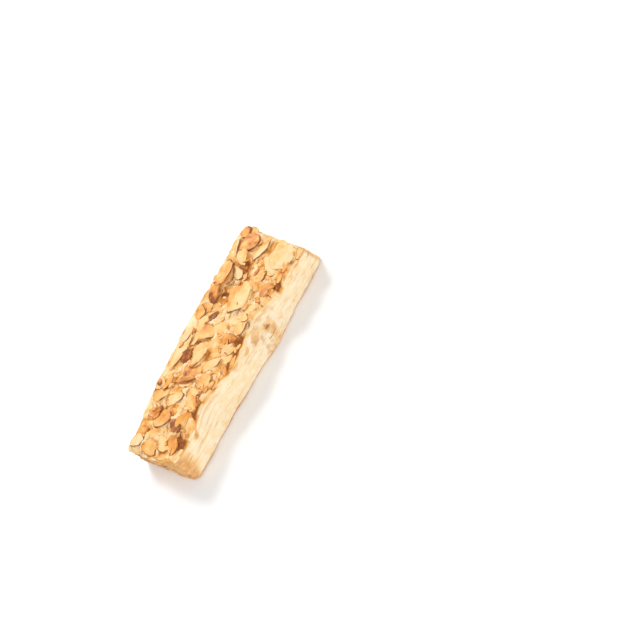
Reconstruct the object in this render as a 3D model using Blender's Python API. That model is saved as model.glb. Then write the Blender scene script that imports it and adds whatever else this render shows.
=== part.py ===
"""Almond pastry bar: a baked slab of layered pastry with flaked almonds set in glaze on its top.

Metres, +Z up. The bar lies along X with the middle of its flat underside at the origin.
The near end is at -X, and the long side that shows its leaves best is at -Y, the front.
"""

import math
import random

import bmesh
import bpy
import numpy as np
from mathutils import Euler, Matrix, Vector, noise
from mathutils.geometry import delaunay_2d_cdt

MM = 0.001

# Driving dimensions
LENGTH = 145 * MM
WIDTH = 50 * MM
CORNER_RADIUS = 5 * MM
# Height of the risen pastry at its four corners: the slab has risen unevenly
NEAR_FRONT_HEIGHT = 21 * MM
NEAR_BACK_HEIGHT = 16 * MM
FAR_FRONT_HEIGHT = 16.5 * MM
FAR_BACK_HEIGHT = 21 * MM
CROWN = 0.9 * MM  # rise of the middle over the rims
LUMP_HEIGHT = 0.7 * MM
LUMP_SPAN = 26 * MM
LEAVES = 7  # thick leaves that show at the sides
LEAF_RELIEF = 0.9 * MM
LEAF_DRIFT = 0.035  # how far a leaf's line rises and falls along the side, as a share of the height
RIM_ROUND = 1 * MM
BASE_ROUND = 1.6 * MM
BACK_TAPER = 4 * MM  # how far the back side draws in towards the near end
BOW_MIDDLE = 8 * MM  # place along the back side where it bows out most
BOW_REACH = 36 * MM
BACK_BOW = 2.2 * MM
TORN_MIDDLE = 19 * MM  # place along the front side where it is torn
TORN_REACH = 13 * MM
TORN_FOOT = 3.5 * MM  # how far the torn stretch stands out at its foot
TORN_TOP = 4.5 * MM  # how far it is worn back at its top
WORN_MIDDLE = -32 * MM  # place along the front side where its top is worn back most
WORN_REACH = 15 * MM
WORN_TOP = 6 * MM
GLAZE_THICKNESS = 1.5 * MM
GLAZE_GAP = 0.3 * MM  # between the glaze and the pastry under it
GLAZE_RIM = 1.2 * MM
GLAZE_ROOT = 2.8 * MM  # how far the block of glaze reaches into the pastry before it is cut
FLAKE_THICKNESS = 0.9 * MM
SCATTERED_FLAKES = 46
FLAKE_LENGTHS = (13 * MM, 21 * MM)
OVERHANG = 1.5 * MM  # how far a scattered flake may stand out past the rim
STEEPEST_REST = 0.3  # the steepest slope that a flake takes over from what is under it
SUNK_SHARE = 38  # per cent of a flake's underside that sinks into what is under it
PAST_THE_TIP = 2.0  # a break line out here leaves a flake whole
SEED = 11

# Size of the facets
OUTLINE_STEP = 4.2 * MM
TOP_STEP = 6 * MM
BASE_STEP = 14 * MM
FLAKE_SIDES = 8
HEIGHT_CELL = 1.5 * MM
HEIGHT_MARGIN = 12 * MM

PASTRY_COLOUR = (0.80, 0.60, 0.36, 1)
ALMOND_COLOUR = (0.72, 0.43, 0.19, 1)

# Flakes that stand out, from the far end to the near one, in millimetres and degrees:
# x, y, length, width, heading, lift of the tip, lift of the left side
LEADING_FLAKES = [
    (69, 18, 12, 7, -72, 4, 8),
    (63, 11, 15, 12, 154, 2, 4),
    (62, -16, 21, 15, 14, -3, 6),
    (53, -11, 17, 8, 71, 6, -10),
    (46, -6, 15, 10, 88, 3, 6),
    (39, -19, 12, 11, 165, -3, 8),
    (41, 18, 19, 14, -168, 4, 8),
    (27, 16, 14, 12, -144, 6, 10),
    (28, -3, 28, 17, -161, 3, 5),
    (45, 9, 13, 7, 36, 7, -12),
    (53, 9, 16, 9, -119, 5, 8),
    (58, 18, 13, 5, 10, 6, -14),
    (62, -1, 21, 6, -22, 7, -15),
    (15, 20, 11, 10, -62, 6, 10),
    (14, 8, 12, 5, -36, 7, -16),
    (0, 20, 14, 9, -15, 6, -12),
    (4, 4, 14, 12, -163, 6, -12),
    (5, -14, 14, 7, -72, 5, 12),
    (20, -16, 7, 6, 0, 2, 4),
    (-10, 18, 26, 11, 176, 4, 8),
    (0, -18, 15, 6, -40, 7, 14),
    (-11, 1, 16, 9, -36, 7, -13),
    (-13, -10, 18, 6, -44, 7, 15),
    (-12, 11, 10, 8, -24, 7, 14),
    (-31, 13, 14, 10, -140, 6, 10),
    (-24, -1, 20, 7, -69, 5, -15),
    (-24, -18, 14, 11, -155, -2, 10),
    (-31, 20, 12, 8, -37, 7, 13),
    (-37, 2, 18, 9, -67, 6, -12),
    (-47, -18, 13, 10, -33, 4, 10),
    (-51, -11, 14, 7, 70, 7, 15),
    (-50, 3, 20, 13, -88, 5, -8),
    (-62, -18, 13, 10, 40, 4, -8),
    (-63, -9, 17, 9, 75, 5, 10),
    (-67, 14, 18, 9, -90, 7, -12),
    (-68, -3, 19, 10, -87, 7, 10),
]


def clamp(value, low, high):
    return max(low, min(high, value))


def smooth(value):
    """0 to 1 with a soft start and end."""
    t = clamp(value, 0.0, 1.0)
    return t * t * (3 - 2 * t)


def wave(x, y, span, layer):
    """Smooth noise, about -1 to 1, that varies over span metres. Each layer has its own pattern."""
    return 1.6 * noise.noise(Vector((x / span, y / span, layer)))


# Form of the pastry


def top_height(x, y):
    """Height of the pastry's upper face, before its rounded rim."""
    along = clamp(x / LENGTH + 0.5, 0.0, 1.0)
    across = clamp(y / WIDTH + 0.5, 0.0, 1.0)
    near = NEAR_FRONT_HEIGHT + (NEAR_BACK_HEIGHT - NEAR_FRONT_HEIGHT) * across
    far = FAR_FRONT_HEIGHT + (FAR_BACK_HEIGHT - FAR_FRONT_HEIGHT) * across
    crown = CROWN * (1 - (2 * across - 1) ** 2) * (1 - (2 * along - 1) ** 2)
    return near + (far - near) * along + crown + LUMP_HEIGHT * wave(x, y, LUMP_SPAN, 3.1)


def end_shift(x, y, level):
    """How far an end runs along X from the plain rectangle, at a level from 0, the base, to 1, the top.

    The near end is cut askew, and the far end leans over at its front corner.
    """
    front = 0.5 - y / WIDTH
    near = smooth((-x - 0.36 * LENGTH) / (0.14 * LENGTH))
    far = smooth((x - 0.36 * LENGTH) / (0.14 * LENGTH))
    askew = (1.9 * front - 1.0) * MM
    lean = front * (1.6 - 3.6 * level) * MM
    return near * askew + far * lean


def stretch(x, middle, reach):
    """1 in the middle of a stretch along the bar, falling to 0 away from it."""
    return math.exp(-(((x - middle) / reach) ** 2))


def back_taper(x):
    """How far the back side is drawn in."""
    return BACK_TAPER * smooth((-x - 25 * MM) / (35 * MM))


def front_wear(x):
    """How far the top of the front side is worn back."""
    return TORN_TOP * stretch(x, TORN_MIDDLE, TORN_REACH) + WORN_TOP * stretch(x, WORN_MIDDLE, WORN_REACH)


def side_shift(x, y, level):
    """How far a long side runs along Y from the plain rectangle.

    The back bows out and tapers. The front is torn in one place and worn at its top.
    """
    side = 1.0 if y > 0 else -1.0
    bulge = 0.8 * MM * wave(x, side, 34 * MM, 7.7)
    if side > 0:
        bulge += BACK_BOW * stretch(x, BOW_MIDDLE, BOW_REACH) - back_taper(x)
    else:
        bulge += TORN_FOOT * stretch(x, TORN_MIDDLE, TORN_REACH) * (1 - level) - front_wear(x) * level
    return bulge * side


def outline(step):
    """Points round a rounded rectangle as (x, y, outward x, outward y), counter-clockwise."""
    half_x = LENGTH / 2 - CORNER_RADIUS
    half_y = WIDTH / 2 - CORNER_RADIUS
    arc_steps = max(2, round(CORNER_RADIUS * math.pi / 2 / step))
    centres = [(half_x, -half_y), (half_x, half_y), (-half_x, half_y), (-half_x, -half_y)]
    points = []
    for index, (cx, cy) in enumerate(centres):
        for turn in range(arc_steps + 1):
            angle = math.radians(90 * (index - 1 + turn / arc_steps))
            nx, ny = math.cos(angle), math.sin(angle)
            points.append((cx + CORNER_RADIUS * nx, cy + CORNER_RADIUS * ny, nx, ny))
        next_x, next_y = centres[(index + 1) % 4]
        run = math.hypot(next_x - cx, next_y - cy)
        pieces = max(1, round(run / step))
        x, y = points[-1][:2]
        for n in range(1, pieces):
            share = n / pieces
            points.append((x + (next_x - cx) * share, y + (next_y - cy) * share, nx, ny))
    return points


def side_point(point, level, out):
    """A point of the side wall, without its leaves, moved outwards by out."""
    x, y, nx, ny = point
    moved_x = x + end_shift(x, y, level) * abs(nx) + nx * out
    moved_y = y + side_shift(x, y, level) * abs(ny) + ny * out
    return moved_x, moved_y


def leaf_rows():
    """(level, relief) of the seams between the leaves and of the leaves' noses, from the base up."""
    rng = random.Random(SEED)
    thicknesses = [rng.uniform(0.7, 1.3) for _ in range(LEAVES)]
    rows = []
    low = 0.0
    for thickness in thicknesses:
        high = low + thickness / sum(thicknesses)
        rows.append((low, -0.75))
        rows.append((low + 0.45 * (high - low), 0.25))
        low = high
    return rows[1:]


def leaf_out(x, y, level, relief):
    """Outward relief of the leaves: ragged noses stand out, and the seams sink in."""
    ragged = wave(x + 0.3 * y, y, 11 * MM, 20 + 9 * level)
    spread = 1 - abs(relief)
    return LEAF_RELIEF * (relief + spread * ragged)


def leaf_height(x, y, level):
    """Height of a leaf's line, which rises and falls with its neighbours."""
    drift = LEAF_DRIFT * wave(x, y, 22 * MM, 70 + 2.5 * level) * math.sin(math.pi * level)
    return (level + drift) * top_height(x, y)


def add_ring(mesh, points):
    return [mesh.verts.new(point) for point in points]


def join_rings(mesh, lower, upper):
    count = len(lower)
    for n in range(count):
        following = (n + 1) % count
        mesh.faces.new((lower[n], lower[following], upper[following], upper[n]))


def inside(spot, ring):
    """True where spot lies within the closed ring."""
    hit = False
    for n, corner in enumerate(ring):
        before = ring[n - 1]
        if (corner.y > spot.y) != (before.y > spot.y):
            crossing = corner.x + (spot.y - corner.y) * (before.x - corner.x) / (before.y - corner.y)
            hit ^= spot.x < crossing
    return hit


def add_cap(mesh, ring, height, step):
    """Closes a ring with triangles whose inner points follow height(x, y)."""
    rim = [Vector((vert.co.x, vert.co.y)) for vert in ring]
    count = len(rim)
    edges = [(n, (n + 1) % count) for n in range(count)]
    columns = round(LENGTH / step)
    rows = round(WIDTH / step)
    inner = []
    for column in range(1, columns):
        for row in range(1, rows):
            spot = Vector((LENGTH * (column / columns - 0.5), WIDTH * (row / rows - 0.5)))
            clear = min((spot - corner).length for corner in rim) > 0.6 * step
            if clear and inside(spot, rim):
                inner.append(spot)
    spots, _, faces, origins, _, _ = delaunay_2d_cdt(rim + inner, edges, [], 1, 1e-7)
    verts = []
    for spot, origin in zip(spots, origins):
        if origin[0] < count:
            verts.append(ring[origin[0]])
        else:
            verts.append(mesh.verts.new((spot.x, spot.y, height(spot.x, spot.y))))
    for face in faces:
        mesh.faces.new([verts[n] for n in face])


def pastry_object(name, grow):
    """The slab with its leaves. grow swells it on every side where it is used as a cutter."""
    mesh = bmesh.new()
    points = outline(OUTLINE_STEP)
    base = []
    for point in points:
        base.append((*side_point(point, 0.0, grow - BASE_ROUND), -grow))
    rings = [add_ring(mesh, base)]
    for level, relief in leaf_rows():
        ring = []
        for point in points:
            x, y = point[:2]
            px, py = side_point(point, level, grow + leaf_out(x, y, level, relief))
            ring.append((px, py, leaf_height(x, y, level)))
        rings.append(add_ring(mesh, ring))
    rim = []
    for point in points:
        px, py = side_point(point, 1.0, grow - RIM_ROUND)
        rim.append((px, py, top_height(px, py) + grow))
    rings.append(add_ring(mesh, rim))
    for lower, upper in zip(rings, rings[1:]):
        join_rings(mesh, lower, upper)
    add_cap(mesh, rings[0], lambda x, y: -grow, BASE_STEP)
    add_cap(mesh, rings[-1], lambda x, y: top_height(x, y) + grow, TOP_STEP)
    return finished(mesh, name)


# Form of the glaze


def glaze_reach(x, y):
    """How far the glaze's edge stands out past the pastry's rim, or falls short of it."""
    return (0.1 + 1.1 * wave(x, y, 17 * MM, 41.0)) * MM


def glaze_drop(x, y):
    """How far the glaze runs down the side."""
    return (0.6 + 1.8 * max(0.0, wave(x, y, 12 * MM, 55.0))) * MM


def glaze_height(x, y):
    uneven = 1 + 0.3 * wave(x, y, 13 * MM, 60.0)
    return top_height(x, y) + GLAZE_GAP + GLAZE_THICKNESS * uneven


def glaze_object(name):
    """The glaze as a slab that reaches down into the pastry, from which the pastry is cut later."""
    mesh = bmesh.new()
    inner, low, outer, rim = [], [], [], []
    for point in outline(OUTLINE_STEP):
        x, y = point[:2]
        reach = glaze_reach(x, y)
        drop = glaze_drop(x, y)
        top = top_height(x, y)
        inner.append((*side_point(point, 1.0, -GLAZE_ROOT), top - GLAZE_ROOT))
        low.append((*side_point(point, 1.0, reach - 0.3 * MM), top - drop - 0.5 * MM))
        outer.append((*side_point(point, 1.0, reach), top + 0.1 * MM - 0.4 * drop))
        rim.append((*side_point(point, 1.0, reach - GLAZE_RIM), top + GLAZE_GAP + 0.75 * GLAZE_THICKNESS))
    rings = [add_ring(mesh, ring) for ring in (inner, low, outer, rim)]
    for lower, upper in zip(rings, rings[1:]):
        join_rings(mesh, lower, upper)
    add_cap(mesh, rings[0], lambda x, y: top_height(x, y) - GLAZE_ROOT, BASE_STEP)
    add_cap(mesh, rings[-1], glaze_height, TOP_STEP)
    return finished(mesh, name)


# Where each flake lies


def scattered_flakes():
    """Flakes spread evenly over the top, each in the emptiest of a few random places."""
    rng = random.Random(SEED)
    placed = []
    for _ in range(SCATTERED_FLAKES):
        best, best_room = None, -1.0
        for _ in range(14):
            x = rng.uniform(-0.48, 0.48) * LENGTH
            y = rng.uniform(-0.46, 0.46) * WIDTH
            room = min((math.hypot(x - p["x"], y - p["y"]) for p in placed), default=1.0)
            if room > best_room:
                best, best_room = (x, y), room
        length = rng.uniform(*FLAKE_LENGTHS)
        flake = {
            "x": best[0],
            "y": best[1],
            "length": length,
            "width": length * rng.uniform(0.52, 0.84),
            "heading": rng.uniform(-180, 180),
            "tip_lift": rng.uniform(-6, 8),
            "side_lift": rng.uniform(-9, 9),
        }
        keep_on_top(flake)
        placed.append(flake)
    return placed


def keep_on_top(flake):
    """Moves a flake inwards until it stands out past the top's rim by no more than the overhang."""
    heading = math.radians(flake["heading"])
    along, across = abs(math.cos(heading)), abs(math.sin(heading))
    reach_x = (along * flake["length"] + across * flake["width"]) / 2
    reach_y = (across * flake["length"] + along * flake["width"]) / 2
    room_x = LENGTH / 2 + OVERHANG - reach_x
    room_y = WIDTH / 2 + OVERHANG - reach_y
    flake["x"] = clamp(flake["x"], -room_x, room_x)
    flake["y"] = clamp(flake["y"], front_wear(flake["x"]) - room_y, room_y - back_taper(flake["x"]))


def leading_flakes():
    """The flakes that stand out, which lie on the scattered ones."""
    placed = []
    for x, y, length, width, heading, tip_lift, side_lift in LEADING_FLAKES:
        placed.append({
            "x": x * MM,
            "y": y * MM,
            "length": length * MM,
            "width": width * MM,
            "heading": heading,
            "tip_lift": tip_lift,
            "side_lift": side_lift,
        })
        keep_on_top(placed[-1])
    return placed


def add_bends(flakes):
    """Gives each flake its own arch, cup and point and, for half of them, a slanting break."""
    rng = random.Random(SEED + 1)
    for flake in flakes:
        flake["arch"] = rng.uniform(-0.4, 0.7) * MM
        flake["cup"] = rng.uniform(-0.35, 0.35) * MM
        flake["point"] = rng.uniform(0.1, 0.6)
        flake["break"] = rng.choice((PAST_THE_TIP, rng.uniform(0.3, 0.8)))
        flake["slant"] = rng.uniform(-0.7, 0.7)
    return flakes


def flake_edge(flake, angle):
    """Point of a flake's outline: an almond's slice, round at one end and pointed or broken at the other."""
    y = math.sin(angle) * abs(math.sin(angle / 2)) ** flake["point"] * (1 + 0.3 * flake["point"])
    x = min(math.cos(angle), flake["break"] + flake["slant"] * y)
    return x * flake["length"] / 2, y * flake["width"] / 2


def flake_bend(flake, x, y):
    """Height of a flake's middle surface over its own flat plane."""
    along = 2 * x / flake["length"]
    across = 2 * y / flake["width"]
    return flake["arch"] * (0.4 - along * along) + flake["cup"] * (0.4 - across * across)


def new_heights():
    """Grid of the heights that flakes come to rest on, at first the glaze's, and lower past the rim."""
    columns = round((LENGTH + 2 * HEIGHT_MARGIN) / HEIGHT_CELL) + 1
    rows = round((WIDTH + 2 * HEIGHT_MARGIN) / HEIGHT_CELL) + 1
    heights = np.zeros((columns, rows))
    for column in range(columns):
        for row in range(rows):
            x = column * HEIGHT_CELL - LENGTH / 2 - HEIGHT_MARGIN
            y = row * HEIGHT_CELL - WIDTH / 2 - HEIGHT_MARGIN
            past = max(0.0, abs(x) - LENGTH / 2) + max(0.0, abs(y) - WIDTH / 2)
            heights[column, row] = glaze_height(x, y) - 0.6 * past
    return heights


def cell(heights, x, y):
    """Column and row of the grid at a place."""
    column = round((x + LENGTH / 2 + HEIGHT_MARGIN) / HEIGHT_CELL)
    row = round((y + WIDTH / 2 + HEIGHT_MARGIN) / HEIGHT_CELL)
    return clamp(column, 0, heights.shape[0] - 1), clamp(row, 0, heights.shape[1] - 1)


def rest_flake(flake, heights):
    """Matrix that lays a flake on what is under it, leaning with it. It then raises the grid there."""
    heading = math.radians(flake["heading"])
    turn_x, turn_y = math.cos(heading), math.sin(heading)
    spots, levels = [], []
    for along in (-0.8, -0.4, 0.0, 0.4, 0.8):
        for across in (-0.6, 0.0, 0.6):
            u = along * flake["length"] / 2
            v = across * flake["width"] / 2
            x = flake["x"] + u * turn_x - v * turn_y
            y = flake["y"] + u * turn_y + v * turn_x
            spots.append((1.0, u, v))
            levels.append(heights[cell(heights, x, y)])
    spots, levels = np.array(spots), np.array(levels)
    plane = np.linalg.lstsq(spots, levels, rcond=None)[0]
    slope_along = clamp(plane[1], -STEEPEST_REST, STEEPEST_REST)
    slope_across = clamp(plane[2], -STEEPEST_REST, STEEPEST_REST)
    over = levels - spots[:, 1] * slope_along - spots[:, 2] * slope_across
    lift = abs(math.sin(math.radians(flake["side_lift"]))) * flake["width"] * 0.22
    height = float(np.percentile(over, 100 - SUNK_SHARE)) + lift + 0.3 * FLAKE_THICKNESS
    lean = Euler((
        math.atan(slope_across) + math.radians(flake["side_lift"]),
        -math.atan(slope_along) - math.radians(flake["tip_lift"]),
        heading,
    ))
    place = Matrix.Translation((flake["x"], flake["y"], height)) @ lean.to_matrix().to_4x4()
    for n in range(9):
        for m in range(7):
            u = (n / 4 - 1) * 0.95 * flake["length"] / 2
            v = (m / 3 - 1) * 0.8 * flake["width"] / 2
            spot = place @ Vector((u, v, flake_bend(flake, u, v) + FLAKE_THICKNESS / 2))
            where = cell(heights, spot.x, spot.y)
            heights[where] = max(heights[where], spot.z)
    return place


def flake_object(name, flake, place):
    """One flake: a thin solid with a curved top and underside."""
    mesh = bmesh.new()
    half = FLAKE_THICKNESS / 2
    edges = [flake_edge(flake, 2 * math.pi * n / FLAKE_SIDES) for n in range(FLAKE_SIDES)]
    lower, upper = [], []
    for x, y in edges:
        bend = flake_bend(flake, x, y)
        lower.append(mesh.verts.new(place @ Vector((x, y, bend - half))))
        upper.append(mesh.verts.new(place @ Vector((x, y, bend + half))))
    middle = flake_bend(flake, 0, 0)
    under = mesh.verts.new(place @ Vector((0, 0, middle - half)))
    over = mesh.verts.new(place @ Vector((0, 0, middle + half)))
    join_rings(mesh, lower, upper)
    for n in range(FLAKE_SIDES):
        following = (n + 1) % FLAKE_SIDES
        mesh.faces.new((upper[n], upper[following], over))
        mesh.faces.new((lower[following], lower[n], under))
    return finished(mesh, name)


# Putting the solids together


def finished(mesh, name):
    """Makes a closed mesh into an object of the scene, with its faces pointing out."""
    bmesh.ops.triangulate(mesh, faces=mesh.faces)
    bmesh.ops.recalc_face_normals(mesh, faces=mesh.faces)
    data = bpy.data.meshes.new(name)
    mesh.to_mesh(data)
    mesh.free()
    result = bpy.data.objects.new(name, data)
    bpy.context.scene.collection.objects.link(result)
    return result


def apply_modifiers(item):
    """Replaces an object's mesh by the one that its modifiers give."""
    graph = bpy.context.evaluated_depsgraph_get()
    data = bpy.data.meshes.new_from_object(item.evaluated_get(graph))
    item.modifiers.clear()
    item.data = data


def boolean(item, operation, other=None, group=None):
    modifier = item.modifiers.new(operation.lower(), "BOOLEAN")
    modifier.operation = operation
    modifier.solver = "MANIFOLD"
    if group:
        modifier.operand_type = "COLLECTION"
        modifier.collection = group
    else:
        modifier.object = other
    apply_modifiers(item)


def keep_largest_shell(item):
    """Drops loose scraps and the shells of sealed hollows, and leaves the outer shell."""
    mesh = bmesh.new()
    mesh.from_mesh(item.data)
    waiting = set(mesh.verts)
    shells = []
    while waiting:
        shell = {waiting.pop()}
        front = list(shell)
        while front:
            for edge in front.pop().link_edges:
                for vert in edge.verts:
                    if vert not in shell:
                        shell.add(vert)
                        front.append(vert)
        waiting -= shell
        shells.append(shell)
    shells.sort(key=len)
    for shell in shells[:-1]:
        bmesh.ops.delete(mesh, geom=list(shell), context="VERTS")
    mesh.to_mesh(item.data)
    mesh.free()


def almond_topping():
    """Glaze and flakes in one solid, clear of the pastry."""
    topping = glaze_object("almond_topping")
    flakes = add_bends(scattered_flakes() + leading_flakes())
    heights = new_heights()
    group = bpy.data.collections.new("flakes")
    bpy.context.scene.collection.children.link(group)
    for n, flake in enumerate(flakes):
        piece = flake_object(f"flake_{n}", flake, rest_flake(flake, heights))
        bpy.context.scene.collection.objects.unlink(piece)
        group.objects.link(piece)
    boolean(topping, "UNION", group=group)
    for piece in list(group.objects):
        bpy.data.objects.remove(piece)
    bpy.data.collections.remove(group)
    cutter = pastry_object("clearance", GLAZE_GAP)
    boolean(topping, "DIFFERENCE", other=cutter)
    bpy.data.objects.remove(cutter)
    keep_largest_shell(topping)
    return topping


def stand_on_origin(items):
    """Moves the solids together so that the middle of their underside is the origin."""
    corners = [vert.co for item in items for vert in item.data.vertices]
    lows = [min(corner[axis] for corner in corners) for axis in range(3)]
    highs = [max(corner[axis] for corner in corners) for axis in range(3)]
    shift = Vector((-(lows[0] + highs[0]) / 2, -(lows[1] + highs[1]) / 2, -lows[2]))
    for item in items:
        item.data.transform(Matrix.Translation(shift))


def material(name, colour, roughness):
    made = bpy.data.materials.new(name)
    made.use_nodes = True
    shader = made.node_tree.nodes["Principled BSDF"]
    shader.inputs["Base Color"].default_value = colour
    shader.inputs["Roughness"].default_value = roughness
    shader.inputs["Metallic"].default_value = 0.0
    return made


def main():
    for old in list(bpy.data.objects):
        bpy.data.objects.remove(old)
    pastry = pastry_object("pastry", 0.0)
    topping = almond_topping()
    pastry.data.materials.append(material("pastry", PASTRY_COLOUR, 0.85))
    topping.data.materials.clear()
    topping.data.materials.append(material("almond_topping", ALMOND_COLOUR, 0.5))
    stand_on_origin([pastry, topping])


main()
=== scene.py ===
import math
import random

import bpy
import numpy as np
from mathutils import Euler, Matrix, Vector, noise


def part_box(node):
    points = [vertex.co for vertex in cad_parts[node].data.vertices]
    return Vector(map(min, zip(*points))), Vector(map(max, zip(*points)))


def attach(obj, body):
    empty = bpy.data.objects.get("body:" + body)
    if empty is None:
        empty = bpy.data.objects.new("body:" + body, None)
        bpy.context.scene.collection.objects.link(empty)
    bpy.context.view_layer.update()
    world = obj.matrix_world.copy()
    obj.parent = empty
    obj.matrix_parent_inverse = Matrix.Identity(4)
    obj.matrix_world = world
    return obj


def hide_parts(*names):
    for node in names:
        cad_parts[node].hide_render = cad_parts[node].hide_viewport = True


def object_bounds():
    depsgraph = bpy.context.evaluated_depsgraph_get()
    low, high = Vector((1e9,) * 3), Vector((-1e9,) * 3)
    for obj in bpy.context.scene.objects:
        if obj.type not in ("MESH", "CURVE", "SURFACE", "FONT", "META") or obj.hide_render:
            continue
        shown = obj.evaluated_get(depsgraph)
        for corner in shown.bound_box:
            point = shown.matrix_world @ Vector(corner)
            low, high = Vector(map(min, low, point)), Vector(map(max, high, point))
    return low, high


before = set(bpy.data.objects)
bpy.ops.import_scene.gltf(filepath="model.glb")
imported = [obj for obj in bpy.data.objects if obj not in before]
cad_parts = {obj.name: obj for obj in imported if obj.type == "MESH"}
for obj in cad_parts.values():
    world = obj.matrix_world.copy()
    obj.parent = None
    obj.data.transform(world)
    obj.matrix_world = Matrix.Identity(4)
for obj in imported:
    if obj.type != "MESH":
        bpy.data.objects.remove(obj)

# Almond pastry bar: a slab of layered pastry with flaked almonds in a pale glaze.
# Metres, +Z up. The bar's form repeats the CAD model's own rules, with far finer facets.

MM = 0.001
CAD_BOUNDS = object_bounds()

# Driving dimensions, the CAD model's own
LENGTH = 145 * MM
WIDTH = 50 * MM
CORNER_RADIUS = 5 * MM
NEAR_FRONT_HEIGHT = 21 * MM
NEAR_BACK_HEIGHT = 16 * MM
FAR_FRONT_HEIGHT = 16.5 * MM
FAR_BACK_HEIGHT = 21 * MM
CROWN = 0.9 * MM
LUMP_HEIGHT = 0.7 * MM
LUMP_SPAN = 26 * MM
LEAVES = 7
LEAF_RELIEF = 0.9 * MM
LEAF_DRIFT = 0.035
RIM_ROUND = 1 * MM
BASE_ROUND = 1.6 * MM
BACK_TAPER = 4 * MM
BOW_MIDDLE = 8 * MM
BOW_REACH = 36 * MM
BACK_BOW = 2.2 * MM
TORN_MIDDLE = 19 * MM
TORN_REACH = 13 * MM
TORN_FOOT = 3.5 * MM
TORN_TOP = 4.5 * MM
WORN_MIDDLE = -32 * MM
WORN_REACH = 15 * MM
WORN_TOP = 6 * MM
GLAZE_THICKNESS = 1.5 * MM
GLAZE_GAP = 0.3 * MM
GLAZE_RIM = 1.2 * MM
GLAZE_ROOT = 2.8 * MM
FLAKE_THICKNESS = 0.9 * MM
SCATTERED_FLAKES = 46
FLAKE_LENGTHS = (13 * MM, 21 * MM)
OVERHANG = 1.5 * MM
STEEPEST_REST = 0.3
SUNK_SHARE = 38
PAST_THE_TIP = 2.0
SEED = 11
CAD_OUTLINE_STEP = 4.2 * MM
HEIGHT_CELL = 1.5 * MM
HEIGHT_MARGIN = 12 * MM

# Fine facets
SIDE_STEP = 0.5 * MM
SIDE_ROWS = 92
UNDERSIDE_RINGS = (0.97, *(0.07 * n for n in range(13, 0, -1)))
HIDDEN_RINGS = (0.9, 0.7, 0.45, 0.2)
CAP_SOFTNESS = 9  # points to each side that a cap's inner rings are averaged over
GLAZE_STEP = 0.36 * MM
COVER_CELL = 0.6 * MM
FLAKE_TURNS = 40
FLAKE_RINGS = (0.35, 0.65, 0.88, 0.93, 1.0)
VISIBLE_THICKNESS = 0.62 * MM

# What only the scene shows
FINE_LEAVES = 10
COARSE_SHARE = 0.7  # share of the thick leaves' relief that shows beside the thin ones
SHARDS = 90
CHIPS = 60
FRONT_CHIPS = 22
SHADOW_RIM_SIDE = -112  # heading in degrees of the side away from the light, where most flakes have their brown rim: real skin, placed there as painted shadow
LIGHT_SIDE = 64  # heading in degrees that most of the light comes from

# Flakes that stand out, roughly from the far end to the near one, in millimetres and degrees:
# x, y, length, width, heading, lift of the tip, lift of the left side, tone, skin.
# Tone runs from 0, pale cream, to 1, deep brown; a little over 1 is brown all over.
# Skin is how much of the rim is brown: real almond skin, set mostly on the side away from the light as
# painted shadow.
LEADING_FLAKES = [
    (69, 18, 12, 7, -72, 4, 8, 0.68, 0.60),
    (63, 11, 15, 12, 154, 2, 4, 0.64, 0.50),
    (62, -16, 21, 15, 14, -3, 6, 0.10, 0.10),
    (53, -11, 17, 8, 71, 6, -10, 0.08, 0.20),
    (46, -6, 15, 10, 88, 3, 6, 0.52, 0.30),
    (39, -19, 12, 11, 165, -3, 8, 0.66, 0.50),
    (41, 18, 19, 14, -168, 4, 8, 0.46, 0.60),
    (27, 16, 14, 12, -144, 6, 10, 0.84, 0.80),
    (28, -3, 28, 17, -161, 3, 5, 0.32, 0.40),
    (45, 9, 13, 7, 36, 7, -12, 0.20, 0.60),
    (53, 9, 16, 9, -119, 5, 8, 0.18, 0.50),
    (58, 18, 13, 5, 10, 6, -14, 0.22, 0.30),
    (62, -1, 21, 6, -22, 7, -15, 0.26, 1.00),
    (15, 20, 11, 10, -62, 6, 10, 0.58, 0.50),
    (14, 8, 12, 5, -36, 7, -16, 1.00, 0.90),
    (0, 20, 14, 9, -15, 6, -12, 0.16, 0.60),
    (4, 4, 14, 12, -163, 6, -12, 0.52, 0.80),
    (5, -14, 14, 7, -72, 5, 12, 0.78, 0.60),
    (20, -16, 7, 6, 0, 2, 4, 0.30, 0.50),
    (-10, 18, 26, 11, 176, 4, 8, 0.14, 0.40),
    (0, -18, 15, 6, -40, 7, 14, 0.28, 0.80),
    (-11, 1, 16, 9, -36, 7, -13, 0.16, 0.40),
    (-13, -10, 18, 6, -44, 7, 15, 0.28, 0.90),
    (-12, 11, 10, 8, -24, 7, 14, 1.05, 0.60),
    (-31, 13, 14, 10, -140, 6, 10, 0.62, 0.50),
    (-24, -1, 20, 7, -69, 5, -15, 0.72, 0.90),
    (-24, -18, 14, 11, -155, -2, 10, 0.50, 0.80),
    (-31, 20, 12, 8, -37, 7, 13, 0.12, 0.60),
    (-37, 2, 18, 9, -67, 6, -12, 0.18, 0.50),
    (-47, -18, 13, 10, -33, 4, 10, 0.50, 0.30),
    (-51, -11, 14, 7, 70, 7, 15, 1.05, 0.50),
    (-50, 3, 20, 13, -88, 5, -8, 0.46, 0.90),
    (-62, -18, 13, 10, 40, 4, -8, 0.55, 0.40),
    (-63, -9, 17, 9, 75, 5, 10, 0.24, 0.50),
    (-67, 14, 18, 9, -90, 7, -12, 0.14, 0.70),
    (-68, -3, 19, 10, -87, 7, 10, 0.48, 0.60),
]

# Camera, fitted to the corners of the bar in the photograph
AZIMUTH, ELEVATION, ROLL = -16.1, 43.4, -49.4
CAMERA_DISTANCE = 827.5 * MM
AIM = Vector((36.0, -54.5, 8.5)) * MM
LENS, SENSOR = 85, 36


def clamp(value, low, high):
    return max(low, min(high, value))


def smooth(value):
    """0 to 1 with a soft start and end."""
    t = clamp(value, 0.0, 1.0)
    return t * t * (3 - 2 * t)


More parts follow.
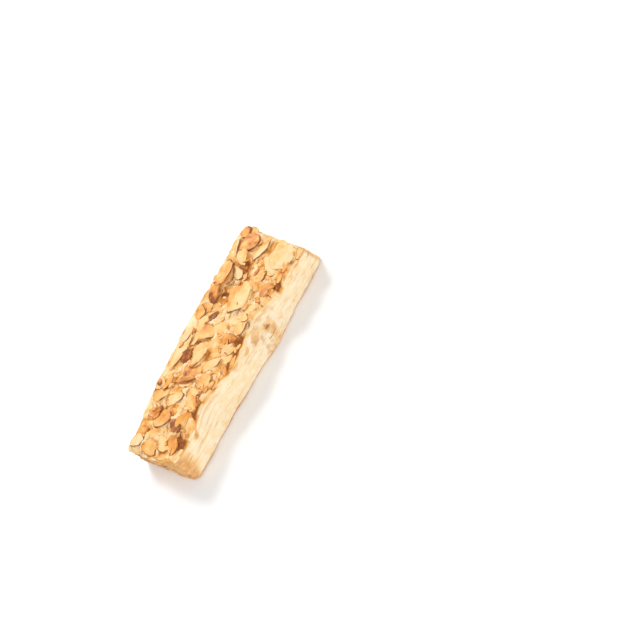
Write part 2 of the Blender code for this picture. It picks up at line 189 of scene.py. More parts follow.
def wave(x, y, span, layer):
    """Smooth noise, about -1 to 1, that varies over span metres. Each layer has its own pattern."""
    return 1.6 * noise.noise(Vector((x / span, y / span, layer)))


def ridge(x, y, span_x, span_y, layer):
    """Noise with sharp crests at 1, which falls to about -1 between them."""
    return 1 - 2.2 * abs(noise.noise(Vector((x / span_x, y / span_y, layer))))


# Form of the pastry, as in the CAD model


def top_height(x, y):
    """Height of the pastry's upper face, before its rounded rim."""
    along = clamp(x / LENGTH + 0.5, 0.0, 1.0)
    across = clamp(y / WIDTH + 0.5, 0.0, 1.0)
    near = NEAR_FRONT_HEIGHT + (NEAR_BACK_HEIGHT - NEAR_FRONT_HEIGHT) * across
    far = FAR_FRONT_HEIGHT + (FAR_BACK_HEIGHT - FAR_FRONT_HEIGHT) * across
    crown = CROWN * (1 - (2 * across - 1) ** 2) * (1 - (2 * along - 1) ** 2)
    return near + (far - near) * along + crown + LUMP_HEIGHT * wave(x, y, LUMP_SPAN, 3.1)


def end_shift(x, y, level):
    """How far an end runs along X from the plain rectangle."""
    front = 0.5 - y / WIDTH
    near = smooth((-x - 0.36 * LENGTH) / (0.14 * LENGTH))
    far = smooth((x - 0.36 * LENGTH) / (0.14 * LENGTH))
    askew = (1.9 * front - 1.0) * MM
    lean = front * (1.6 - 3.6 * level) * MM
    return near * askew + far * lean


def stretch(x, middle, reach):
    """1 in the middle of a stretch along the bar, falling to 0 away from it."""
    return math.exp(-(((x - middle) / reach) ** 2))


def back_taper(x):
    """How far the back side is drawn in."""
    return BACK_TAPER * smooth((-x - 25 * MM) / (35 * MM))


def front_wear(x):
    """How far the top of the front side is worn back."""
    return TORN_TOP * stretch(x, TORN_MIDDLE, TORN_REACH) + WORN_TOP * stretch(x, WORN_MIDDLE, WORN_REACH)


def side_shift(x, y, level):
    """How far a long side runs along Y from the plain rectangle.

    The back bows out and tapers. The front is torn in one place and worn at its top.
    """
    side = 1.0 if y > 0 else -1.0
    bulge = 0.8 * MM * wave(x, side, 34 * MM, 7.7)
    if side > 0:
        bulge += BACK_BOW * stretch(x, BOW_MIDDLE, BOW_REACH) - back_taper(x)
    else:
        bulge += TORN_FOOT * stretch(x, TORN_MIDDLE, TORN_REACH) * (1 - level) - front_wear(x) * level
    return bulge * side


def outline(step):
    """Points round a rounded rectangle as (x, y, outward x, outward y), counter-clockwise."""
    half_x = LENGTH / 2 - CORNER_RADIUS
    half_y = WIDTH / 2 - CORNER_RADIUS
    arc_steps = max(2, round(CORNER_RADIUS * math.pi / 2 / step))
    centres = [(half_x, -half_y), (half_x, half_y), (-half_x, half_y), (-half_x, -half_y)]
    points = []
    for index, (cx, cy) in enumerate(centres):
        for turn in range(arc_steps + 1):
            angle = math.radians(90 * (index - 1 + turn / arc_steps))
            nx, ny = math.cos(angle), math.sin(angle)
            points.append((cx + CORNER_RADIUS * nx, cy + CORNER_RADIUS * ny, nx, ny))
        next_x, next_y = centres[(index + 1) % 4]
        run = math.hypot(next_x - cx, next_y - cy)
        pieces = max(1, round(run / step))
        x, y = points[-1][:2]
        for n in range(1, pieces):
            share = n / pieces
            points.append((x + (next_x - cx) * share, y + (next_y - cy) * share, nx, ny))
    return points


def side_point(point, level, out):
    """A point of the side wall, without its leaves, moved outwards by out."""
    x, y, nx, ny = point
    moved_x = x + end_shift(x, y, level) * abs(nx) + nx * out
    moved_y = y + side_shift(x, y, level) * abs(ny) + ny * out
    return moved_x, moved_y


def leaf_rows():
    """(level, relief) of the seams between the leaves and of the leaves' noses, from the base up."""
    rng = random.Random(SEED)
    thicknesses = [rng.uniform(0.7, 1.3) for _ in range(LEAVES)]
    rows = []
    low = 0.0
    for thickness in thicknesses:
        high = low + thickness / sum(thicknesses)
        rows.append((low, -0.75))
        rows.append((low + 0.45 * (high - low), 0.25))
        low = high
    return rows[1:]


def leaf_out(x, y, level, relief):
    """Outward relief of the leaves: ragged noses stand out, and the seams sink in."""
    ragged = wave(x + 0.3 * y, y, 11 * MM, 20 + 9 * level)
    spread = 1 - abs(relief)
    return LEAF_RELIEF * (relief + spread * ragged)


def leaf_height(x, y, level):
    """Height of a leaf's line, which rises and falls with its neighbours."""
    drift = LEAF_DRIFT * wave(x, y, 22 * MM, 70 + 2.5 * level) * math.sin(math.pi * level)
    return (level + drift) * top_height(x, y)


def cad_pastry_corner():
    """Lowest x and y of the CAD pastry, before the CAD model was moved to stand on its origin."""
    spots = []
    for point in outline(CAD_OUTLINE_STEP):
        x, y = point[:2]
        for level, relief in leaf_rows():
            spots.append(side_point(point, level, leaf_out(x, y, level, relief)))
    return min(x for x, _ in spots), min(y for _, y in spots)


def frame_shift():
    """How far the CAD model was moved to stand on its origin."""
    low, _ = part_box("pastry")
    x, y = cad_pastry_corner()
    return Vector((low.x - x, low.y - y, 0))


# Glaze and flakes, as in the CAD model


def glaze_reach(x, y):
    """How far the glaze's edge stands out past the pastry's rim, or falls short of it."""
    return (0.1 + 1.1 * wave(x, y, 17 * MM, 41.0)) * MM


def glaze_drop(x, y):
    """How far the glaze runs down the side."""
    return (0.6 + 1.8 * max(0.0, wave(x, y, 12 * MM, 55.0))) * MM


def glaze_height(x, y):
    uneven = 1 + 0.3 * wave(x, y, 13 * MM, 60.0)
    return top_height(x, y) + GLAZE_GAP + GLAZE_THICKNESS * uneven


def scattered_flakes():
    """Flakes spread evenly over the top, each in the emptiest of a few random places."""
    rng = random.Random(SEED)
    placed = []
    for _ in range(SCATTERED_FLAKES):
        best, best_room = None, -1.0
        for _ in range(14):
            x = rng.uniform(-0.48, 0.48) * LENGTH
            y = rng.uniform(-0.46, 0.46) * WIDTH
            room = min((math.hypot(x - p["x"], y - p["y"]) for p in placed), default=1.0)
            if room > best_room:
                best, best_room = (x, y), room
        length = rng.uniform(*FLAKE_LENGTHS)
        flake = {
            "x": best[0],
            "y": best[1],
            "length": length,
            "width": length * rng.uniform(0.52, 0.84),
            "heading": rng.uniform(-180, 180),
            "tip_lift": rng.uniform(-6, 8),
            "side_lift": rng.uniform(-9, 9),
        }
        keep_on_top(flake)
        placed.append(flake)
    return placed


def keep_on_top(flake):
    """Moves a flake inwards until it stands out past the top's rim by no more than the overhang."""
    heading = math.radians(flake["heading"])
    along, across = abs(math.cos(heading)), abs(math.sin(heading))
    reach_x = (along * flake["length"] + across * flake["width"]) / 2
    reach_y = (across * flake["length"] + along * flake["width"]) / 2
    room_x = LENGTH / 2 + OVERHANG - reach_x
    room_y = WIDTH / 2 + OVERHANG - reach_y
    flake["x"] = clamp(flake["x"], -room_x, room_x)
    flake["y"] = clamp(flake["y"], front_wear(flake["x"]) - room_y, room_y - back_taper(flake["x"]))


def leading_flakes():
    """The flakes that stand out, which lie on the scattered ones."""
    placed = []
    for x, y, length, width, heading, tip_lift, side_lift, tone, skin in LEADING_FLAKES:
        placed.append({
            "x": x * MM,
            "y": y * MM,
            "length": length * MM,
            "width": width * MM,
            "heading": heading,
            "tip_lift": tip_lift,
            "side_lift": side_lift,
            "tone": tone,
            "skin": skin,
        })
        keep_on_top(placed[-1])
    return placed


def add_bends(flakes):
    """Gives each flake its own arch, cup and point and, for half of them, a slanting break."""
    rng = random.Random(SEED + 1)
    for flake in flakes:
        flake["arch"] = rng.uniform(-0.4, 0.7) * MM
        flake["cup"] = rng.uniform(-0.35, 0.35) * MM
        flake["point"] = rng.uniform(0.1, 0.6)
        flake["break"] = rng.choice((PAST_THE_TIP, rng.uniform(0.3, 0.8)))
        flake["slant"] = rng.uniform(-0.7, 0.7)
    return flakes


def flake_edge(flake, angle):
    """Point of a flake's outline: an almond's slice, round at one end and pointed or broken at the other."""
    y = math.sin(angle) * abs(math.sin(angle / 2)) ** flake["point"] * (1 + 0.3 * flake["point"])
    x = min(math.cos(angle), flake["break"] + flake["slant"] * y)
    return x * flake["length"] / 2, y * flake["width"] / 2


def flake_bend(flake, x, y):
    """Height of a flake's middle surface over its own flat plane."""
    along = 2 * x / flake["length"]
    across = 2 * y / flake["width"]
    return flake["arch"] * (0.4 - along * along) + flake["cup"] * (0.4 - across * across)


def new_heights():
    """Grid of the heights that flakes come to rest on, at first the glaze's, and lower past the rim."""
    columns = round((LENGTH + 2 * HEIGHT_MARGIN) / HEIGHT_CELL) + 1
    rows = round((WIDTH + 2 * HEIGHT_MARGIN) / HEIGHT_CELL) + 1
    heights = np.zeros((columns, rows))
    for column in range(columns):
        for row in range(rows):
            x = column * HEIGHT_CELL - LENGTH / 2 - HEIGHT_MARGIN
            y = row * HEIGHT_CELL - WIDTH / 2 - HEIGHT_MARGIN
            past = max(0.0, abs(x) - LENGTH / 2) + max(0.0, abs(y) - WIDTH / 2)
            heights[column, row] = glaze_height(x, y) - 0.6 * past
    return heights


def cell(heights, x, y):
    """Column and row of the grid at a place."""
    column = round((x + LENGTH / 2 + HEIGHT_MARGIN) / HEIGHT_CELL)
    row = round((y + WIDTH / 2 + HEIGHT_MARGIN) / HEIGHT_CELL)
    return clamp(column, 0, heights.shape[0] - 1), clamp(row, 0, heights.shape[1] - 1)


def rest_flake(flake, heights):
    """Matrix that lays a flake on what is under it, leaning with it. It then raises the grid there."""
    heading = math.radians(flake["heading"])
    turn_x, turn_y = math.cos(heading), math.sin(heading)
    spots, levels = [], []
    for along in (-0.8, -0.4, 0.0, 0.4, 0.8):
        for across in (-0.6, 0.0, 0.6):
            u = along * flake["length"] / 2
            v = across * flake["width"] / 2
            x = flake["x"] + u * turn_x - v * turn_y
            y = flake["y"] + u * turn_y + v * turn_x
            spots.append((1.0, u, v))
            levels.append(heights[cell(heights, x, y)])
    spots, levels = np.array(spots), np.array(levels)
    plane = np.linalg.lstsq(spots, levels, rcond=None)[0]
    slope_along = clamp(plane[1], -STEEPEST_REST, STEEPEST_REST)
    slope_across = clamp(plane[2], -STEEPEST_REST, STEEPEST_REST)
    over = levels - spots[:, 1] * slope_along - spots[:, 2] * slope_across
    lift = abs(math.sin(math.radians(flake["side_lift"]))) * flake["width"] * 0.22
    height = float(np.percentile(over, 100 - SUNK_SHARE)) + lift + 0.3 * FLAKE_THICKNESS
    lean = Euler((
        math.atan(slope_across) + math.radians(flake["side_lift"]),
        -math.atan(slope_along) - math.radians(flake["tip_lift"]),
        heading,
    ))
    place = Matrix.Translation((flake["x"], flake["y"], height)) @ lean.to_matrix().to_4x4()
    for n in range(9):
        for m in range(7):
            u = (n / 4 - 1) * 0.95 * flake["length"] / 2
            v = (m / 3 - 1) * 0.8 * flake["width"] / 2
            spot = place @ Vector((u, v, flake_bend(flake, u, v) + FLAKE_THICKNESS / 2))
            where = cell(heights, spot.x, spot.y)
            heights[where] = max(heights[where], spot.z)
    return place


# Fine heights of the whole topping, for what settles between the flakes


def new_cover():
    """Fine grid of the topping's upper heights, at first the glaze's."""
    columns = round((LENGTH + 2 * HEIGHT_MARGIN) / COVER_CELL) + 2
    rows = round((WIDTH + 2 * HEIGHT_MARGIN) / COVER_CELL) + 2
    cover = np.zeros((columns, rows))
    for column in range(columns):
        for row in range(rows):
            x = column * COVER_CELL - LENGTH / 2 - HEIGHT_MARGIN
            y = row * COVER_CELL - WIDTH / 2 - HEIGHT_MARGIN
            cover[column, row] = glaze_height(x, y)
    return cover


def raise_cover(cover, ceiling, flake, place, bare):
    """Raises the cover to a flake's upper face, and lowers the glaze's ceiling to its underside.

    The ceiling is lowered out to the share bare of the way to the flake's rim.
    """
    spacing = 0.8 * COVER_CELL
    rings = math.ceil(flake["length"] / 2 / spacing)
    turns = math.ceil(2.6 * flake["length"] / spacing)
    for turn in range(turns):
        edge_x, edge_y = flake_edge(flake, 2 * math.pi * turn / turns)
        for ring in range(rings + 1):
            u, v = edge_x * ring / rings, edge_y * ring / rings
            spot = place @ Vector((u, v, flake_bend(flake, u, v) + VISIBLE_THICKNESS / 2))
            column = round((spot.x + LENGTH / 2 + HEIGHT_MARGIN) / COVER_CELL)
            row = round((spot.y + WIDTH / 2 + HEIGHT_MARGIN) / COVER_CELL)
            cover[column, row] = max(cover[column, row], spot.z)
            if ring <= bare * rings:
                ceiling[column, row] = spot.z - VISIBLE_THICKNESS - 0.15 * MM


def blurred(grid, spread):
    """The grid smoothed over spread metres."""
    reach = round(3 * spread / COVER_CELL)
    weights = np.exp(-0.5 * (np.arange(-reach, reach + 1) * COVER_CELL / spread) ** 2)
    weights /= weights.sum()
    for axis in (0, 1):
        grid = np.apply_along_axis(
            lambda line: np.convolve(np.pad(line, reach, "edge"), weights, "valid"), axis, grid)
    return grid


def shaded(cover):
    """Grid of 0 to 1: how far what stands around a place shades it, most of all from the light's side."""
    total, weights = np.zeros_like(cover), 0.0
    for turn in range(12):
        heading = math.radians(30 * turn)
        weight = 1 + 0.9 * math.cos(heading - math.radians(LIGHT_SIDE))
        steepest = np.zeros_like(cover)
        for cells in (2, 3, 5, 7):
            moved = (-round(cells * math.cos(heading)), -round(cells * math.sin(heading)))
            rise = np.roll(cover, moved, (0, 1)) - cover - 0.25 * MM
            steepest = np.maximum(steepest, rise / (cells * COVER_CELL))
        total += weight * np.minimum(steepest, 0.8)
        weights += weight
    return np.clip(total / weights / 0.34, 0, 1)


def level_at(grid, x, y):
    """A fine grid's height at a place, between its cells."""
    column = clamp((x + LENGTH / 2 + HEIGHT_MARGIN) / COVER_CELL, 0, grid.shape[0] - 1.01)
    row = clamp((y + WIDTH / 2 + HEIGHT_MARGIN) / COVER_CELL, 0, grid.shape[1] - 1.01)
    c, r = int(column), int(row)
    dc, dr = column - c, row - r
    near = grid[c, r] * (1 - dr) + grid[c, r + 1] * dr
    far = grid[c + 1, r] * (1 - dr) + grid[c + 1, r + 1] * dr
    return near * (1 - dc) + far * dc


# Meshes


class Shape:
    """Points, faces and per-point values of one piece, gathered before its mesh is made."""

    def __init__(self, *values):
        self.points = []
        self.faces = []
        self.values = {name: [] for name in values}

    def add(self, point, **values):
        """Adds a point and its values, and returns its number."""
        self.points.append(tuple(point))
        for name, held in self.values.items():
            held.append(values[name])
        return len(self.points) - 1

    def join(self, lower, upper):
        """Faces between two closed rings of equal length."""
        count = len(lower)
        for n in range(count):
            following = (n + 1) % count
            self.faces.append((lower[n], lower[following], upper[following], upper[n]))

    def fan(self, ring, middle):
        """Triangles from a closed ring to its middle point."""
        count = len(ring)
        for n in range(count):
            self.faces.append((ring[n], ring[(n + 1) % count], middle))

    def made(self, name, shift):
        """The piece as an object of the scene, shaded smooth and kept inside the CAD model's box."""
        data = bpy.data.meshes.new(name)
        lowest, highest = np.array(CAD_BOUNDS[0]), np.array(CAD_BOUNDS[1])
        points = np.clip(np.array(self.points) + np.array(shift), lowest, highest)
        data.from_pydata(points.tolist(), [], self.faces)
        for key, held in self.values.items():
            flat = np.array(held, np.float32).ravel()
            kind = "FLOAT" if len(flat) == len(self.points) else "FLOAT_VECTOR"
            field = "value" if kind == "FLOAT" else "vector"
            data.attributes.new(key, kind, "POINT").data.foreach_set(field, flat)
        data.shade_smooth()
        data.update()
        piece = bpy.data.objects.new(name, data)
        bpy.context.scene.collection.objects.link(piece)
        return piece


def add_cap(shape, ring, shares, surface, upwards):
    """Closes a ring with ever smaller, softer rings. surface(x, y) gives a height and its values."""
    rim = np.array([shape.points[n][:2] for n in ring])
    turns = range(-CAP_SOFTNESS, CAP_SOFTNESS + 1)
    rim = sum(np.roll(rim, turn, axis=0) for turn in turns) / len(turns)
    outer = ring
    for share in shares:
        inner = []
        for x, y in rim.tolist():
            height, values = surface(x * share, y * share)
            inner.append(shape.add((x * share, y * share, height), **values))
        if upwards:
            shape.join(outer, inner)
        else:
            shape.join(inner, outer)
        outer = inner
    height, values = surface(0.0, 0.0)
    middle = shape.add((0.0, 0.0, height), **values)
    shape.fan(outer if upwards else outer[::-1], middle)


# The pastry slab


def torn(x, y):
    """1 in the middle of the torn stretch of the front side, 0 away from it."""
    return stretch(x, TORN_MIDDLE, TORN_REACH) if y < 0 else 0.0


def coarse_relief(x, y, level, rows):
    """Relief of the thick leaves at any level, smoothly between the CAD model's rows."""
    before = rows[0]
    for row in rows:
        if row[0] >= level:
            break
        before = row
    low, high = leaf_out(x, y, *before), leaf_out(x, y, *row)
    if row[0] <= before[0]:
        return COARSE_SHARE * low
    share = smooth((level - before[0]) / (row[0] - before[0]))
    return COARSE_SHARE * (low + (high - low) * share)


def fine_relief(x, y, level):
    """Relief of the thin leaves and painted shade in their gaps: long edges and short gaps, faint where the
    side is torn.
    """
    phase = FINE_LEAVES * level + 0.9 * wave(x, y, 38 * MM, 1.6 * level)
    leaf = math.floor(phase)
    within = phase - leaf
    own = 0.15 * MM * wave(x, y, 14 * MM, 5.3 * leaf) + 0.09 * MM * wave(x, y, 2.2 * MM, 9.1 * leaf)
    nose = 0.10 * MM * math.sin(math.pi * within) ** 0.6
    whole = smooth((-x - 2 * MM) / (20 * MM))
    shown = smooth(0.5 + 0.4 * whole + 1.2 * wave(x, y, 30 * MM, 40 + 7.7 * leaf))
    shown *= 0.5 if leaf % 2 else 1.0
    parting = smooth(1 - abs(within - 0.15) / 0.15) * shown
    pocket = smooth((wave(x, y, 10 * MM, 19.0 * level) - 0.66) / 0.25)
    pocket *= smooth(0.5 + wave(x, y, 3.2 * MM, 31.0 * level)) * (1 - torn(x, y))
    parting *= 1 - 0.8 * torn(x, y)
    # painted shade in the partings and pockets between leaves
    depth = clamp((0.60 + 0.35 * whole) * parting + 0.7 * pocket, 0.0, 1.0)
    return own + nose - 0.30 * MM * parting - 0.7 * MM * pocket, depth


def crumble(x, y, z):
    """Rough relief where the side is torn."""
    rough = noise.fractal(Vector((x, y, 1.3 * z)) / (4.2 * MM), 0.75, 2.1, 5)
    return 1.0 * MM * rough


def crust_amount(x, y, nx, level):
    """How browned the side is: along its foot, at the ends, and in patches under the glaze."""
    patch = 0.5 + 0.5 * wave(x, y, 10 * MM, 12 + 2 * level)
    foot = smooth(1 - level / (0.04 + (0.13 + 0.22 * torn(x, y)) * patch))
    under_glaze = smooth((level - 0.80 + 0.14 * wave(x, y, 6 * MM, 13)) / 0.15)
    head = 0.7 * under_glaze * smooth(2.2 * patch - 0.9)
    end = smooth(abs(nx) * 1.4 - 0.3) * (0.35 + 0.35 * patch + (0.2 if nx < 0 else 0.0))
    near_corner = smooth((-x - 56 * MM) / (12 * MM))
    corner = 0.75 * near_corner * smooth(2.5 * level - 0.6 + 1.2 * wave(x, y, 7 * MM, 14))
    torn_patch = 0.78 * torn(x, y) * smooth(2.2 * wave(x, y, 9 * MM, 15 + 2.2 * level) - 0.15)
    plain = 0.13 * (1 - torn(x, y))
    crust = max(plain, foot, head, end, corner, torn_patch)
    return clamp(crust + 0.06 * wave(x, y, 4 * MM, 8 * level), 0.0, 1.0)


def pastry_slab(shift):
    """The slab: thin ragged leaves at the sides, a torn stretch, a browned foot and underside."""
    shape = Shape("crust", "depth")
    points = outline(SIDE_STEP)
    rows = leaf_rows()
    foot = []
    for point in points:
        x, y = side_point(point, 0.0, -BASE_ROUND)
        foot.append(shape.add((x, y, 0.0), crust=0.95, depth=0.0))
    rings = [foot]
    for n in range(SIDE_ROWS):
        level = 0.012 + 0.983 * n / (SIDE_ROWS - 1)
        ring = []
        for point in points:
            x, y, nx, _ = point
            fine, depth = fine_relief(x, y, level)
            roughness = torn(x, y)
            height = leaf_height(x, y, level)
            crumbs = roughness * crumble(x, y, height)
            # painted shade in the hollows of the torn crumbs
            depth = max(depth, 0.75 * smooth(-crumbs / (0.45 * MM)))
            out = coarse_relief(x, y, level, rows) + fine + crumbs
            out -= BASE_ROUND * (1 - smooth(level / 0.09)) * 0.8
            px, py = side_point(point, level, out)
            crust = crust_amount(x, y, nx, level) * (1 - 0.4 * roughness)
            ring.append(shape.add((px, py, height), crust=crust, depth=depth))
        rings.append(ring)
    rim = []
    for point in points:
        x, y = side_point(point, 1.0, -RIM_ROUND)
        rim.append(shape.add((x, y, top_height(x, y)), crust=0.4, depth=0.0))
    rings.append(rim)
    for lower, upper in zip(rings, rings[1:]):
        shape.join(lower, upper)
    add_cap(shape, foot, UNDERSIDE_RINGS, underside, False)
    hidden = {"crust": 0.3, "depth": 0.0}
    add_cap(shape, rim, HIDDEN_RINGS, lambda x, y: (top_height(x, y), hidden), True)
    return shape.made("pastry_slab", shift)


def underside(x, y):
    """The baked underside: flat, with shallow dimples."""
    dimple = 0.25 * MM * max(0.0, wave(x, y, 7 * MM, 90.0))
    return dimple, {"crust": clamp(0.85 + 0.25 * wave(x, y, 9 * MM, 91.0), 0.0, 1.0), "depth": 0.0}


def pastry_shards(shift):
    """Thin leaves that have come half away from the sides, most of them where the front is torn."""
    rng = random.Random(SEED + 5)
    shape = Shape("crust", "depth")
    points = outline(SIDE_STEP)
    rows = leaf_rows()
    made = 0
    while made < SHARDS:
        point = rng.choice(points)
        x, y, nx, ny = point
        if rng.random() > 0.30 + 0.9 * torn(x, y):
            continue
        level = rng.uniform(0.10, 0.93)
        out = coarse_relief(x, y, level, rows) - 0.5 * MM
        px, py = side_point(point, level, out)
        height = leaf_height(x, y, level)
        add_shard(shape, rng, Vector((px, py, height)), nx, ny, crust_amount(x, y, nx, level))
        made += 1
    return shape.made("pastry_shards", shift)


def add_shard(shape, rng, root, nx, ny, crust):
    """One thin wavy leaf that grows out of the side at root."""
    length = rng.uniform(2.5, 8) * MM
    reach = rng.uniform(0.7, 1.3) * MM
    thick = 0.09 * MM
    droop = rng.uniform(-0.35, 0.25)
    phase = rng.uniform(0, 40)
    tangent = Vector((-ny, nx, 0))
    outward = Vector((nx, ny, 0))
    columns, rows = 9, 4
    grids = []
    for side in (-1, 1):
        grid = []
        for column in range(columns):
            share = column / (columns - 1)
            run = (share - 0.5) * length
            taper = math.sin(math.pi * clamp(share, 0.04, 0.96)) ** 0.5
            line = []
            for row in range(rows):
                deep = row / (rows - 1)
                ragged = 1 + 0.35 * noise.noise(Vector((5 * share, phase, deep)))
                out = reach * deep * taper * ragged
                lift = droop * out + 0.25 * MM * noise.noise(Vector((3 * share, phase, 9.0)))
                edge = thick * (1 - 0.6 * deep)
                spot = root + tangent * run + outward * out + Vector((0, 0, lift + side * edge))
                line.append(shape.add(spot, crust=clamp(crust + 0.2 * deep, 0, 1), depth=0.0))
            grid.append(line)
        grids.append(grid)
    close_sheet(shape, grids[0], grids[1])


def close_sheet(shape, under, over):
    """Faces of a closed thin sheet from the two grids of its faces."""
    columns, rows = len(over), len(over[0])
    for c in range(columns - 1):
        for r in range(rows - 1):
            shape.faces.append((over[c][r], over[c + 1][r], over[c + 1][r + 1], over[c][r + 1]))
            shape.faces.append((under[c][r + 1], under[c + 1][r + 1], under[c + 1][r], under[c][r]))
    rim = [(c, 0) for c in range(columns)]
    rim += [(columns - 1, r) for r in range(1, rows)]
    rim += [(c, rows - 1) for c in range(columns - 2, -1, -1)]
    rim += [(0, r) for r in range(rows - 2, 0, -1)]
    for n, (c, r) in enumerate(rim):
        next_c, next_r = rim[(n + 1) % len(rim)]
        shape.faces.append((under[c][r], under[next_c][next_r], over[next_c][next_r], over[c][r]))


# The glaze


def glaze_pores():
    """Centres and radii of the pores that bubbles left in the glaze."""
    rng = random.Random(SEED + 8)
    pores = []
    clusters = [(-28, -10, 5, 12), (28, -17, 8, 26), (55, -9, 6, 10)]
    for x, y, spread, count in clusters:
        for _ in range(count):
            spot = (rng.gauss(x, spread) * MM, rng.gauss(y, spread * 0.6) * MM)
            pores.append((*spot, rng.uniform(0.35, 0.8) * MM))
    for _ in range(160):
        spot = (rng.uniform(-0.48, 0.48) * LENGTH, rng.uniform(-0.47, 0.47) * WIDTH)
        pores.append((*spot, rng.uniform(0.3, 0.7) * MM))
    return pores


def pore_depth(x, y, pores):
    """0 on plain glaze, 1 at the bottom of a pore."""
    deepest = 0.0
    for px, py, radius in pores:
        if abs(x - px) < radius * 2 and abs(y - py) < radius * 2:
            distance = math.hypot(x - px, y - py) / (radius * 1.5)
            deepest = max(deepest, 1 - smooth(distance))
    return deepest


def front_rim(x):
    """Y of the top's front rim."""
    return -WIDTH / 2 + side_shift(x, -1.0, 1.0)


def crust_share(x, y):
    """How far the glaze fills the gaps between flakes, from 0 to 1: most at the front and the near end."""
    lean = -0.35 * y / (WIDTH / 2) - 0.20 * x / (LENGTH / 2)
    return smooth(0.5 + lean + 0.9 * wave(x, y, 15 * MM, 64.0))


def wrinkles(x, y):
    """Relief of the crumpled crust: sharp ridges with softer lumps on them."""
    bent_x = x + 1.6 * MM * wave(x, y, 6 * MM, 65.0)
    bent_y = y + 1.6 * MM * wave(x, y, 6 * MM, 66.0)
    large = 0.45 * MM * ridge(bent_x, bent_y, 7 * MM, 5 * MM, 67.0)
    small = 0.22 * MM * ridge(bent_x, bent_y, 2.6 * MM, 2 * MM, 68.0)
    return large + small + 0.08 * MM * wave(x, y, 1.1 * MM, 62.0)


def crack_amount(x, y):
    """1 in a thin crack of the crust, 0 away from it."""
    bent_x = x + 1.3 * MM * wave(x, y, 3 * MM, 71.0)
    large = smooth(1 - abs(wave(bent_x, y, 9 * MM, 72.0)) / 0.13)
    small = smooth(1 - abs(wave(bent_x, y, 5 * MM, 75.0)) / 0.15)
    shown = smooth(0.4 + 1.6 * wave(x, y, 8 * MM, 73.0))
    return max(large, 0.7 * small) * shown


def toast_and_shade_amount(x, y, height, tight):
    """How browned the glaze is, in patches and where it has run over the front rim, plus painted shade
    beside and under flakes.
    """
    patch = 0.26 + 0.50 * wave(x, y, 11 * MM, 63.0) + 0.22 * wave(x, y, 3.5 * MM, 69.0)
    # painted shade: darker where the glaze lies below the flakes beside it
    shade_beside_flakes = 0.55 * smooth((level_at(tight, x, y) - height - 0.3 * MM) / (1.2 * MM))
    run = rim_caramel(x, y) * smooth(1 - (y - front_rim(x) - 1 * MM) / (6 * MM))
    return clamp(max(patch, 0.08) * (1 - 0.7 * torn(x, y)) + shade_beside_flakes + 0.7 * run, 0.0, 1.0)


def rim_caramel(x, y):
    """Where caramel has gathered along the top's rim: in patches, and none where the front is torn."""
    return smooth(2.4 * wave(x, y, 8 * MM, 74.0) + 0.25 - x / LENGTH) * (1 - torn(x, y))


def outline_runs(columns, rows):
    """The outline's points as four even runs between its corners: front, far end, back, near end."""
    points = outline(0.2 * MM)
    corners = []
    for side_x, side_y in ((-1, -1), (1, -1), (1, 1), (-1, 1)):
        corners.append(max(range(len(points)), key=lambda n: side_x * points[n][0] + side_y * points[n][1]))
    start = corners[0]
    ring = np.array(points[start:] + points[:start + 1])
    breaks = [(corner - start) % len(points) for corner in corners] + [len(points)]
    runs = []
    for n, count in enumerate((columns, rows, columns, rows)):
        run = ring[breaks[n]:breaks[n + 1] + 1]
        even = np.linspace(0, len(run) - 1, count + 1)
        runs.append(np.stack([np.interp(even, range(len(run)), run[:, part]) for part in range(4)], axis=1))
    return runs


def filled_grid(front, far, back, near):
    """Grid of (x, y) places between four runs of them, each blended from the four."""
    back, near = back[::-1], near[::-1]
    u = np.linspace(0, 1, len(front))[:, None, None]
    v = np.linspace(0, 1, len(far))[None, :, None]
    between_sides = (1 - v) * front[:, None] + v * back[:, None]
    between_ends = (1 - u) * near[None] + u * far[None]
    front_corners = (1 - u) * front[0] + u * front[-1]
    back_corners = (1 - u) * back[0] + u * back[-1]
    return between_sides + between_ends - (1 - v) * front_corners - v * back_corners


def ragged_reach(x, y):
    """The glaze's reach past the rim with the small raggedness of its edge."""
    return glaze_reach(x, y) + 0.5 * MM * wave(x, y, 3.5 * MM, 77.0)


def glaze_sheet(shift, soft, tight, ceiling, shade):
    """The glaze: a crumpled crust that rises to the flakes' rims, with cracks and a ragged edge."""
    shape = Shape("pore", "toast", "low")
    pores = glaze_pores()
    columns, rows = round(LENGTH / GLAZE_STEP), round(WIDTH / GLAZE_STEP)
    runs = outline_runs(columns, rows)
    brims = []
    for run in runs:
        brims.append(np.array([side_point(p, 1.0, ragged_reach(*p[:2]) - GLAZE_RIM) for p in run]))
    grid = filled_grid(*brims)
    numbers = np.zeros((columns + 1, rows + 1), int)
    for c in range(columns + 1):
        for r in range(rows + 1):
            steps_in = min(c, r, columns - c, rows - r)
            numbers[c, r] = add_glaze_point(shape, *grid[c, r], soft, tight, ceiling, shade, pores, steps_in)
    for c in range(columns):
        for r in range(rows):
            corners = numbers[c, r], numbers[c + 1, r], numbers[c + 1, r + 1], numbers[c, r + 1]
            shape.faces.append([int(corner) for corner in corners])
    brim = [*numbers[:-1, 0], *numbers[-1, :-1], *numbers[:0:-1, -1], *numbers[0, :0:-1]]
    add_glaze_edge(shape, np.concatenate([run[:-1] for run in runs]), [int(n) for n in brim])
    return shape.made("glaze", shift)


